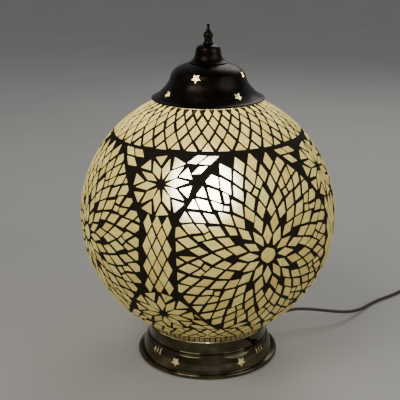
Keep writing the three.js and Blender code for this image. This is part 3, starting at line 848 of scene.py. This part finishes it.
def softened(polygon, cutback):
    """Every sharp corner replaced by two points, as a nipped and ground tile has."""
    result = []
    for last, here, following in zip(np.roll(polygon, 1, axis=0), polygon, np.roll(polygon, -1, axis=0)):
        to_last, to_next = last - here, following - here
        ll, ln = np.linalg.norm(to_last), np.linalg.norm(to_next)
        cosine = float(to_last @ to_next) / max(ll * ln, 1e-12)
        if cosine < -0.6:
            result.append(here)
            continue
        cut = cutback * (1.5 if cosine > 0.3 else 0.8)
        result.append(here + to_last / ll * min(cut, 0.3 * ll))
        result.append(here + to_next / ln * min(cut, 0.3 * ln))
    return np.array(result)


def corner_tiles(up, low):
    """Parallelograms about the stars of one quarter, which are at these azimuths."""
    tiles = lattice((up + 9.9, 38.2), (6.3, -0.2), (5.6, 4.3), range(2), range(1))
    tiles += lattice((up + 13.4, 33.2), (5.2, 0.5), (3.8, 4.1), range(1), range(1))
    for row in range(3):
        tiles += lattice((up - 33.4, 38.6), (6.7, 0.0), (-4.6, 4.4), range(3 - row), range(-row, 1 - row))
    tiles += lattice((low + 9.5, -42.6), (6.6, 0.0), (-5.0, 4.3), range(-2, 6), range(3))
    tiles += lattice((low - 16.5, -42.6), (6.6, 0.0), (5.0, 4.3), range(-6, 2), range(3))
    return tiles


def quarter(turn):
    """Candidate tiles of one quarter of the globe, each with its kind."""
    star_up, star_low, heart = ((a + turn, b) for a, b in (STAR_UPPER, STAR_LOWER, MEDALLION))
    hearts = (heart, (heart[0] - 90, heart[1]))
    stars = (star_up, star_low)
    tiles = [(t, "star") for t in star_flower(star_up, 7.0) + star_flower(star_low, 1.0)]
    tiles += [(t, "column") for t in column(COLUMN_AZIMUTH + turn)]
    for t in medallion(heart):
        for star in (*stars, *((a + 90, b) for a, b in stars)):
            t = t and cut_at_corner(t, heart, star, True)
        if t:
            tiles.append((t, "medallion"))
    for t in corner_tiles(star_up[0], star_low[0]):
        middle = (sum(p[0] for p in t) / 4, sum(p[1] for p in t) / 4)
        if min(distance_between(middle, h) for h in hearts) <= MEDALLION_EDGE:
            continue
        if min(distance_between(middle, star) for star in stars) <= STAR_EDGE:
            continue
        for h in hearts:
            for star in stars:
                t = t and cut_at_corner(t, h, star, False)
        if t:
            tiles.append((t, "corner"))
    return tiles


def candidates():
    """All tiles before they are fitted, the most important first, each with its kind."""
    tiles = [pair for k in range(4) for pair in quarter(90 * k)]
    bands = band(TOP_ROWS, TOP_COUNT, TOP_PHASE, 5.1)
    step = 360 / TOP_COUNT
    for azimuth in ((i + TOP_PHASE) * step for i in range(TOP_COUNT)):
        left, right = azimuth - step / 2, azimuth + step / 2
        bands.append([(left, TOP_LINE), (right, TOP_LINE), (azimuth, TOP_ROWS[-1])])
    bands += band(LOW_ROWS, LOW_COUNT, 0.0, 4.2)
    step = 360 / LOW_COUNT
    for i in range(LOW_COUNT):
        bands.append(rhombus(i * step + step / 2, LOW_ROWS[0] + 4.0, step / 2, 0.2, 4.0))
    tiles += [(t, "band") for t in bands]
    return sorted(tiles, key=lambda pair: KINDS.index(pair[1]))


def within_latitudes(polygon, kind):
    """The part of a tile between the top band and the bottom rows, if its kind keeps to them."""
    if kind in ("star", "medallion", "corner"):
        polygon = cut_at_latitude(polygon, TOP_LINE - 1.1, "below")
    if polygon is not None and kind in ("medallion", "corner"):
        polygon = cut_at_latitude(polygon, LOW_ROWS[0] + 3.9, "above")
    return polygon


def centre_and_reach(polygon):
    centre = polygon.mean(axis=0)
    return centre, float(np.max(np.linalg.norm(polygon - centre, axis=1)))


def lay_tiles():
    """Fits the tiles one by one beside those placed already: (polygon, centre, reach, kind)."""
    placed = []
    cells = {}
    for tile, kind in candidates():
        if kind in ("medallion", "corner"):
            tile = keep_off_column(tile)
            if tile is None:
                continue
        corners = []
        for a, b in tile:
            a += rng.uniform(-JITTER_ACROSS, JITTER_ACROSS)
            corners.append(flat(*hand_laid(a, b + rng.uniform(-JITTER_UP, JITTER_UP))))
        polygon, full = counter_clockwise(np.array(corners))
        polygon = within_latitudes(polygon, kind)
        if polygon is None:
            continue
        cut = counter_clockwise(polygon)[1]
        if cut < LEAST_INSIDE * full:
            continue
        centre, reach = centre_and_reach(polygon)
        azimuth, latitude = unflat(centre)
        narrowing = max(cos(radians(latitude)), 0.3)
        spread = int(ceil(NEIGHBOUR_REACH / narrowing / CELL))
        column_index, row_index = int((azimuth + 180) // CELL), int((latitude + 90) // CELL)
        touching = []
        for i in range(-spread, spread + 1):
            for j in (-1, 0, 1):
                for index in cells.get(((column_index + i) % (360 // CELL), row_index + j), []):
                    other, other_centre, other_reach, _ = placed[index]
                    if np.linalg.norm(other_centre - centre) < reach + other_reach:
                        touching.append(other)
        polygon = trimmed(polygon, touching)
        if polygon is None or counter_clockwise(polygon)[1] < LEAST_LEFT * cut:
            continue
        cells.setdefault((column_index, row_index), []).append(len(placed))
        placed.append((polygon, *centre_and_reach(polygon), kind))
    return placed


def keep_off_column(tile):
    """Cuts a tile at the straight lines beside the columns; None if nothing is left."""
    shape = np.array(tile, float)
    for k in range(-1, 5):
        middle = COLUMN_AZIMUTH + 90 * k
        x = shape.mean(axis=0)[0]
        side = 1.0 if x > middle else -1.0
        line = middle + side * (COLUMN_HALF + COLUMN_LINE)
        if (side * (shape[:, 0] - line)).min() < 0 and side * (x - line) < NEAR_COLUMN:
            shape = clip(counter_clockwise(shape)[0], np.array((line, 0.0)), np.array((side, 0.0)))
            if shape is None:
                return None
    return [tuple(p) for p in shape]


def cut_at_latitude(polygon, latitude, side):
    centre = polygon.mean(axis=0)
    out = centre / np.linalg.norm(centre)
    reach = tan(radians(90 - latitude) / 2)
    return clip(polygon, out * reach, out if side == "below" else -out)


def finished_outlines():
    """The outlines of the tiles in the plane, with the grout and the nipped corners taken off."""
    outlines = []
    for polygon, centre, _, kind in lay_tiles():
        scale = plane_scale(centre)
        half = GROUT_HALF[kind] / scale
        inner = shrunk(polygon, [half * rng.triangular(0.5, 2.1, 0.8) for _ in polygon])
        if inner is None:
            continue
        inner = merged_corners(softened(inner, CORNER_CUT / scale), LEAST_EDGE / scale)
        if inner is None:
            continue
        inner, area = counter_clockwise(inner)
        if area * scale * scale >= SMALLEST_TILE:
            outlines.append(inner)
    return outlines


def on_globe(point, depth):
    azimuth, latitude = unflat(point)
    lat = radians(latitude)
    z = GLOBE_Z + (GLOBE_HALF_HEIGHT - depth) * sin(lat)
    return polar((GLOBE_RADIUS - depth) * cos(lat), azimuth, z)


def tile_mesh(name, outlines):
    vertices, faces = [], []
    for outline in outlines:
        n = len(outline)
        centre = outline.mean(axis=0)
        crown = shrunk_by_ratio(outline, centre, TILE_BEVEL / plane_scale(centre))
        lift = rng.uniform(0.0, TILE_LIFT)
        start = len(vertices)
        vertices += [on_globe(p, TILE_BACK) for p in outline]
        vertices += [on_globe(p, CROWN_DEPTH + TILE_SHOULDER + lift) for p in outline]
        vertices += [on_globe(p, CROWN_DEPTH + TILE_CROWN + lift) for p in crown]
        vertices.append(on_globe(centre, CROWN_DEPTH + lift))
        for i in range(n):
            a, b = start + i, start + (i + 1) % n
            faces += [(a, b, n + b, n + a), (n + a, n + b, 2 * n + b, 2 * n + a)]
            faces.append((2 * n + a, 2 * n + b, start + 3 * n))
        faces.append(tuple(start + i for i in range(n - 1, -1, -1)))
    return outward(mesh_from(name, vertices, faces))


def shrunk_by_ratio(outline, centre, distance):
    away = outline - centre
    length = np.linalg.norm(away, axis=1, keepdims=True)
    return centre + away * np.maximum(0.35, 1 - distance / np.maximum(length, 1e-9))


def outward(mesh):
    shape = bmesh.new()
    shape.from_mesh(mesh)
    bmesh.ops.recalc_face_normals(shape, faces=shape.faces)
    shape.to_mesh(mesh)
    shape.free()
    return mesh


def grout_mesh(outlines):
    """The sheet of grout between the tiles, with a hole for each of them."""
    hole = [flat(360 * i / 120, TOP_LATITUDE) for i in range(120)]
    points, faces = [], []
    for outline in (*outlines, hole):
        faces.append(list(range(len(points), len(points) + len(outline))))
        points += [tuple(p) for p in outline]
    points += [tuple(flat(360 * i / 160, LOW_LATITUDE)) for i in range(160)]
    latitude = LOW_LATITUDE + 1.5
    while latitude < TOP_LATITUDE - 1:
        count = int(360 * cos(radians(latitude)) / GROUT_STEP)
        for i in range(count):
            spot = (360 * (i + rng.random() * 0.6) / count, latitude + rng.uniform(-0.5, 0.5))
            points.append(tuple(flat(*spot)))
        latitude += GROUT_ROW
    result = delaunay_2d_cdt([Vector(p) for p in points], [], faces, 0, 1e-7, True)
    kept = [face for face, origin in zip(result[2], result[5]) if not origin]
    vertices = [on_globe(p, CROWN_DEPTH + GROUT_SINK) for p in result[0]]
    mesh = mesh_from("mosaic_grout", vertices, kept)
    mesh.update()
    flipped = [p for p in mesh.polygons if p.normal.dot(p.center - Vector((0, 0, GLOBE_Z))) < 0]
    if len(flipped) > len(mesh.polygons) / 2:
        mesh.flip_normals()
    return mesh


def neck_band():
    """A row of small upright tiles on the neck, over the collar."""
    vertices, faces = [], []
    for i in range(NECK_TILES):
        middle = 360 / NECK_TILES * (i + rng.uniform(-0.06, 0.06))
        half = 180 / NECK_TILES - 0.62
        foot, head = NECK_TILE_FOOT + rng.uniform(0, 0.3), NECK_TILE_HEAD + rng.uniform(-0.3, 0.2)
        start = len(vertices)
        for depth, inset in ((2.4, 0.0), (0.7, 0.0), (0.1, 0.45)):
            turn = inset / NECK_RADIUS * DEGREES
            left, right = middle - half + turn, middle + half - turn
            low, high = foot + inset, head - inset
            for azimuth, z in ((left, low), (right, low), (right, high), (left, high)):
                vertices.append(polar(NECK_RADIUS - depth, azimuth, z))
        for a in range(8):
            b = a - 3 if a % 4 == 3 else a + 1
            faces.append((start + a, start + b, start + 4 + b, start + 4 + a))
        faces.append(tuple(start + 8 + k for k in range(4)))
        faces.append(tuple(start + 3 - k for k in range(4)))
    return outward(mesh_from("neck_tiles", vertices, faces))


def make_mosaic():
    outlines = finished_outlines()
    sheet = link("mosaic_grout", grout_mesh(outlines), grout, "globe", 60)
    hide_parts("mosaic_shell")
    for name, above in (("mosaic_tiles_upper", True), ("mosaic_tiles_lower", False)):
        half = [outline for outline in outlines if (unflat(outline.mean(axis=0))[1] >= 0) == above]
        link(name, tile_mesh(name, half), tiles_lit, "globe", 50)
    link("neck_tiles", neck_band(), neck_shaded, "globe", 50)
    out, back = NECK_RADIUS - 1.0, NECK_RADIUS - 2.5
    ring = [(out, NECK_FOOT_Z), (out, 58.2), (back, 58.4), (back, NECK_FOOT_Z)]
    link("neck_grout", lathe("neck_grout", ring, GLASS_SEGMENTS), grout, "globe", 60)


make_mosaic()


def make_glass():
    equator, half = GLOBE_RADIUS - GLASS_INSET, GLOBE_HALF_HEIGHT - GLASS_INSET
    low, high = acos(87.6 / equator), acos(70.8 / equator)
    outer, inner = [], []
    for i in range(49):
        lat = -low + (low + high) * i / 48
        r, z = equator * cos(lat), GLOBE_Z + half * sin(lat)
        wall = GLASS_WALL * r / equator if 0 < i < 48 else 2.2
        outer.append((r, z))
        inner.append((r - wall, z - GLASS_WALL * (z - GLOBE_Z) / half))
    profile = [(87.6, 34.4), *outer, (70.8, 402.8), (68.6, 402.8), *inner[::-1], (85.4, 34.4)]
    shell = lathe("globe_glass", profile, GLASS_SEGMENTS)
    glass = link("globe_glass", shell, clear_glass, "globe", 40)
    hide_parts("glass_globe")


make_glass()


# ---- base

def skirt_share(z):
    return (z - SKIRT_FOOT[1]) / SKIRT_RISE


def skirt_radius(z):
    """The straight cone of the skirt, as in CAD."""
    return SKIRT_FOOT[0] + skirt_share(z) * (SKIRT_HEAD[0] - SKIRT_FOOT[0])


def bare_inside(piece):
    """Gives the faces of a turned shell that look inwards, and not up, the look of bare sheet."""
    piece.data.materials.append(raw_sheet)
    for face in piece.data.polygons:
        facing_out = face.normal.x * face.center.x + face.normal.y * face.center.y
        if facing_out <= 0.0 and face.normal.z < 0.3:
            face.material_index = 1


def wall_radius(z):
    """The skirt's wall, which bulges out of the straight cone, most of all above its middle."""
    share = skirt_share(z)
    return skirt_radius(z) + WALL_ROLL * ROLL_FACTOR * share**2 * (1 - share)


def make_skirt():
    bead = arc((BEAD_RING, BEAD_RADIUS), BEAD_RADIUS, -92, 128, 18)
    groove = [(101.6, 5.4), (101.1, 5.5), (100.7, 6.2)]
    wall = [(wall_radius(z), z) for z in np.linspace(6.9, 29.2, 13)]
    rim = [(92.3, 29.7), *arc((91.4, 30.75), 1.05, -20, 100, 6), (90.4, 31.75), (75.3, 31.75)]
    inner = [(75.3, 30.6), (89.9, 30.6)]
    inner += [(wall_radius(z) - SHEET, z) for z in np.linspace(29.4, 6.9, 13)]
    inner += [(100.2, 4.4), (101.2, 2.0)]
    shell = lathe("base_skirt", bead + groove + wall + rim + inner, BASE_SEGMENTS)
    holes = [(star_outline(8.0), azimuth, BASE_STAR_Z) for azimuth in BASE_STARS]
    for middle in SLOT_GROUPS:
        holes += [(slot_outline(9.0, 2.6), middle + step, SLOT_Z) for step in (-4, 0, 4)]
    holes.append((circle_outline(5.5), GLAND_AZIMUTH, GLAND_Z))
    cuts = [punch(outline, skirt_radius(z), azimuth, z, SKIRT_TILT) for outline, azimuth, z in holes]
    skirt = link("skirt", pierce(shell, cuts), polished, "base", 32)
    bare_inside(skirt)
    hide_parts("base_skirt")


def make_collar():
    outer = [(89.9, 32.15), (90.7, 32.5), (90.8, 33.2), (90.25, 33.9), (90.25, 34.5), (90.7, 35.1)]
    outer += [(90.7, 49.4), *arc((90.2, 50.2), 0.75, -20, 160, 6)]
    inner = [(89.35, 49.8), (89.3, 33.4), (75.3, 33.3), (75.3, 32.15)]
    shell = lathe("collar", outer + inner, BASE_SEGMENTS)
    cuts = [punch(circle_outline(2.5, 16), 90.8, azimuth, THUMB_Z, 0) for azimuth in THUMB_AZIMUTHS]
    collar = link("collar", pierce(shell, cuts), polished, "base", 32)
    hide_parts("fitter_collar")


def make_thumb_screws():
    profile = [(0, 0), (1.5, 0), (2.1, 0.8), (2.1, 6.5), (3.1, 6.9), (3.1, 8.2), (4.7, 8.9), (5.1, 9.4),
               (5.1, 14.2), (4.6, 15.2), (3.6, 15.7), (2.4, 15.5), (0, 15.3)]

    def knurl(r, z, i):
        return r - 0.28 if 9.2 < z < 14.6 and i % 2 else r

    for k, azimuth in enumerate(THUMB_AZIMUTHS, 1):
        mesh = outward(place(lathe("thumb", profile, 56, False, knurl), THUMB_TIP, azimuth, THUMB_Z))
        piece = link(f"thumb_{k}_knurled", mesh, antique, f"thumb_{k}", 30)
        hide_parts(f"thumb_screw_{k}")


make_skirt()
make_collar()
make_thumb_screws()


# ---- cap and finial

def inside_of(outline, thickness):
    line = [np.array(p, float) for p in outline]
    result = []
    for i, point in enumerate(line):
        along = line[min(i + 1, len(line) - 1)] - line[max(i - 1, 0)]
        along /= np.linalg.norm(along)
        result.append((point[0] - thickness * along[1], point[1] + thickness * along[0]))
    return result


def make_cap():
    flare = spline([(80.9, 399.0), (77.3, 400.4), (71.8, 404.3), (66.9, 408.7), (62.0, 414.0), (58.7, 418.3),
                    (56.3, 422.6), (54.6, 427.5), (52.9, 432.6), (50.0, 437.0), (44.8, 441.2), (38.3, 444.4),
                    (30.0, 447.2), (20.0, 449.0), (9.0, 449.9), (3.3, 450.0)], 4)
    inner = [p for p in inside_of(flare, SHEET) if p[0] > 3.2][-2::-1]
    inner[-1] = (79.6, 398.0)
    lip = [(80.4, 396.6), (81.3, 396.9), (81.7, 397.6), (81.5, 398.5)]
    shell = lathe("cap", [*lip, *flare, (3.3, 448.8), *inner, (79.5, 397.0)], CAP_SEGMENTS)
    star = star_outline(7.4)
    cuts = [punch(star, 53.0, azimuth, 433.5, 22) for azimuth in (-19, 71, 161, 251)]
    cuts += [punch(star, 66.8, azimuth, 409.0, 45) for azimuth in (-58, 39, 126, 219)]
    cap = link("cap", pierce(shell, cuts), antique, "cap", 32)
    bare_inside(cap)
    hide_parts("cap_shell")


def make_finial_cup():
    outer = spline([(27.3, 449.0), (23.4, 451.6), (20.6, 455.0), (18.8, 459.8), (18.0, 465.4), (16.8, 469.0),
                    (14.4, 471.8), (8.6, 473.8), (3.3, 474.1)], 5)
    inner = inside_of(outer, 1.1)[::-1]
    inner[0] = (3.3, 473.0)
    inner[-1] = (25.9, 448.9)
    cup = link("finial_cup_turned", lathe("cup", outer + inner, 96), antique, "cap", 40)
    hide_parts("finial_cup")


def make_finial():
    turned = spline([(7.6, 475.6), (6.2, 477.2), (5.5, 480.4), (6.2, 483.6), (7.05, 486.4), (6.2, 489.4),
                     (3.7, 492.4), (2.5, 495.2), (1.5, 497.2)], 5)
    ball = arc((0.0, 500.4), 2.4, -55, 90, 9)
    profile = [(0, 483.9), (2.7, 483.9), (2.7, 474.6), (7.3, 474.6), (7.75, 475.1)]
    profile += [*turned, *ball[:-1], (0, 502.85)]
    mesh = outward(lathe("finial", profile, 72, False))
    finial = link("finial_turned", mesh, antique, "finial", 40)
    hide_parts("finial")


make_cap()
make_finial_cup()
make_finial()


# ---- gland, switch, plug and tie

def make_gland():
    profile = [(3.1, -6.9), (7.2, -6.9), (7.3, -2.3), (5.0, -2.2), (5.0, 0.8), (7.3, 1.4), (7.5, 2.0),
               (7.3, 3.1), (5.4, 4.0)]
    for i in range(8):
        foot, reach = 5.2 + i * 2.75, 5.2 - 0.21 * (i + 1)
        profile += [(reach - inset, foot + up) for inset, up in ((0, 0), (0, 1.55), (0.75, 1.75), (0.8, 2.5))]
    profile += [(3.5, 27.4), (3.2, 27.9), (2.9, 27.9)]
    mesh = place(lathe("gland", profile, 48), skirt_radius(GLAND_Z), GLAND_AZIMUTH, GLAND_Z, SKIRT_TILT)
    gland = link("strain_relief", outward(mesh), fitting_brown, "base", 30)
    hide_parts("cord_gland")


def plug_section(y, half_x, half_z, roundness):
    """A ring of superelliptic outline at a distance along the plug."""
    ring = []
    for i in range(32):
        angle = 2 * pi * i / 32
        c, s = cos(angle), sin(angle)
        x = half_x * copysign(abs(c) ** roundness, c)
        z = half_z * copysign(abs(s) ** roundness, s)
        ring.append((TAIL_X + x, y, PLUG_MID_Z + z))
    return ring


def loft(name, rings):
    n = len(rings[0])
    vertices = [p for ring in rings for p in ring]
    faces = [tuple(range(n)), tuple(range(len(vertices) - 1, len(vertices) - n - 1, -1))]
    for k in range(len(rings) - 1):
        for i in range(n):
            j = (i + 1) % n
            faces.append((k * n + i, (k + 1) * n + i, (k + 1) * n + j, k * n + j))
    return outward(mesh_from(name, vertices, faces))


def make_plug():
    """A moulded plug: a ribbed neck, a shoulder, a body with four grip grooves and its face."""
    parts = [(PLUG_Y, 3.4, 3.4, 1.0)]
    for i in range(6):
        y, size = PLUG_Y - 0.6 - i * 1.7, 3.9 + 0.28 * i
        for along, inset in ((0, 0), (0.9, 0), (1.0, 0.8), (1.5, 0.8)):
            parts.append((y - along, size - inset, size - inset, 1.0))
    shoulder = ((11.2, 5.8, 5.8, 0.9), (13.0, 9.5, 6.2, 0.8), (15.5, 14.6, 6.5, 0.6), (18.0, 16.6, 6.7, 0.5))
    parts += [(PLUG_Y - along, *shape) for along, *shape in shoulder]
    for i in range(4):
        y = PLUG_Y - 20.0 - i * 3.2
        for along, half_x, half_z in ((0, 17.0, 6.8), (0.4, 16.2, 6.4), (1.4, 16.2, 6.4), (1.8, 17.0, 6.8)):
            parts.append((y - along, half_x, half_z, 0.45))
    for along, half_x, half_z in ((35.8, 17.4, 6.85), (36.6, 17.2, 6.6), (36.95, 16.6, 6.1)):
        parts.append((PLUG_Y - along, half_x, half_z, 0.42))
    rings = [plug_section(*part) for part in parts]
    plug = link("plug_moulded", loft("plug", rings), fitting_brown, "base", 32)
    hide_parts("plug_body")
    return plug


make_gland()
plug_piece = make_plug()

KEPT_NODES = (
    (zinc, "bottom_plate cross_bar bar_bolt_1 bar_bolt_2 bar_nut_1 bar_nut_2 threaded_tube tube_nut_lower"),
    (zinc, "tube_nut_upper cap_bridge cap_rod bridge_nut bulb_screw_cap"),
    (screw_brass, "bulb_contact holder_screw_shell plug_pin_1 plug_pin_2"),
    (holder_black, "holder_base holder_sleeve"),
    (ceramic, "holder_insulator"),
    (bulb_glass, "bulb_envelope"),
    (felt, "felt_disc"),
    (sheath, "inner_lead"),
    (fitting_brown, "coil_tie switch_lower_shell switch_upper_shell"),
    (rocker_ivory, "switch_rocker"),
)
for material, names in KEPT_NODES:
    for name in names.split():
        node = nodes[name]
        if not node.material_slots:
            node.data.materials.append(material)
        for item in node.material_slots:
            item.material = material


# ---- floor and lights

def make_floor():
    mesh = mesh_from("floor", [(-9, -5, 0), (9, -5, 0), (9, 14, 0), (-9, 14, 0)], [(0, 1, 2, 3)])
    floor = add_object("floor", mesh)
    material, tree, shader = new_material("pale_floor")
    greys = [(0.3, (0.60, 0.585, 0.555)), (0.7, (0.64, 0.625, 0.595))]
    paint(tree, "Base Color", noise(tree, 3.0, 4.0), greys)
    shader.inputs["Roughness"].default_value = 0.55
    mesh.materials.append(material)


def add_light(name, kind, location, power, colour):
    data = bpy.data.lights.new(name, kind)
    data.energy = power
    data.color = colour
    light = add_object(name, data)
    light.location = location
    return light


make_floor()
for name, location, aim, size, power, colour in (
    ("key", (-1.1, -1.3, 1.9), 0.22, 1.4, 16.0, (1.0, 0.97, 0.93)),
    ("fill", (1.5, -0.9, 1.2), 0.2, 1.6, 7.0, (0.95, 0.97, 1.0)),
    ("rim", (0.6, 1.7, 1.7), 0.3, 1.4, 9.0, (1.0, 0.98, 0.95)),
):
    light = add_light(name, "AREA", location, power, colour)
    light.data.shape = "DISK"
    light.data.size = size
    light.rotation_euler = (Vector((0, 0, aim)) - Vector(location)).to_track_quat("-Z", "Y").to_euler()
for name, z, power in (("inside_base", 0.016, 0.6), ("inside_cap", 0.418, 0.35)):
    light = add_light(name, "POINT", (0.0, 0.0, z), power, (1.0, 0.85, 0.55))
    light.data.shadow_soft_size = 0.01
world = bpy.data.worlds.new("studio")
world.use_nodes = True
background = world.node_tree.nodes["Background"]
background.inputs["Color"].default_value = (0.80, 0.82, 0.85, 1.0)
background.inputs["Strength"].default_value = 0.22
bpy.context.scene.world = world
